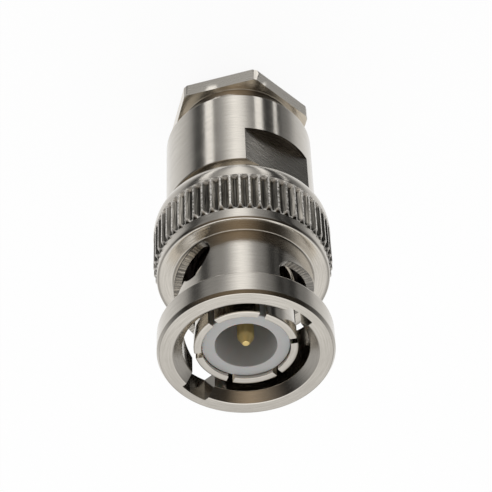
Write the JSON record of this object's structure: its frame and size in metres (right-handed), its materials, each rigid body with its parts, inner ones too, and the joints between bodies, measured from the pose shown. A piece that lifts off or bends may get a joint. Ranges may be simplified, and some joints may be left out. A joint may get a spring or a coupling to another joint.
{
  "type": "bayonet coaxial cable plug",
  "caption": "Bayonet-locking coaxial cable plug with a knurled coupling ring, sprung finger contact, gilt centre pin and a hexagonal cable clamp nut.",
  "frame": {"origin": "centre of the rear face of the clamp nut, on which the plug stands", "axes": "+Z along the axis towards the mating face"},
  "size_m": [0.0144, 0.0144, 0.0276],
  "materials": {
    "nickel_coupling": "satin nickel plate over brass",
    "nickel_contact": "nickel plate over brass",
    "nickel_body": "satin nickel plate over brass, turned",
    "nickel_nut": "satin nickel plate over brass",
    "insulator": "white fluoropolymer, smooth",
    "gilt": "gold plate",
    "silicone": "dark silicone",
    "washer": "nickel plate over brass",
    "spring": "spring strip"
  },
  "bodies": {
    "plug_body": {"rear_body": "nickel_body", "outer_contact": "nickel_contact", "front_insulator": "insulator", "rear_insulator": "insulator", "centre_contact": "gilt", "front_gasket": "silicone", "flange_washer": "washer", "front_wave_spring": "spring", "rear_wave_spring": "spring"},
    "spring_seat": {"lip_washer": "washer"},
    "coupling": {"coupling_ring": "nickel_coupling"},
    "clamp_stack": {"clamp_washer": "washer", "cable_gasket": "silicone", "braid_clamp": "washer"},
    "nut": {"clamp_nut": "nickel_nut"}
  },
  "joints": [
    {"name": "coupling_slide", "type": "slide", "parent": "plug_body", "child": "spring_seat", "axis": [0, 0, 1], "range_m": [0, 0.001], "stiffness_N_per_m": 3000, "springref_m": -0.0005, "deforming": ["front_wave_spring", "rear_wave_spring"]},
    {"name": "coupling_turn", "type": "hinge", "parent": "spring_seat", "child": "coupling", "pos_m": [0, 0, 0.018], "axis": [0, 0, 1], "continuous": true},
    {"name": "nut_travel", "type": "slide", "parent": "plug_body", "child": "clamp_stack", "axis": [0, 0, 1], "range_m": [-0.0015, 0.002]},
    {"name": "nut_turn", "type": "hinge", "parent": "clamp_stack", "child": "nut", "pos_m": [0, 0, 0.003], "axis": [0, 0, 1], "range_deg": [-720, 960]}
  ],
  "couplings": [
    {"joint": "nut_turn", "follows": "nut_travel", "rad_per_m": 8377.6}
  ]
}
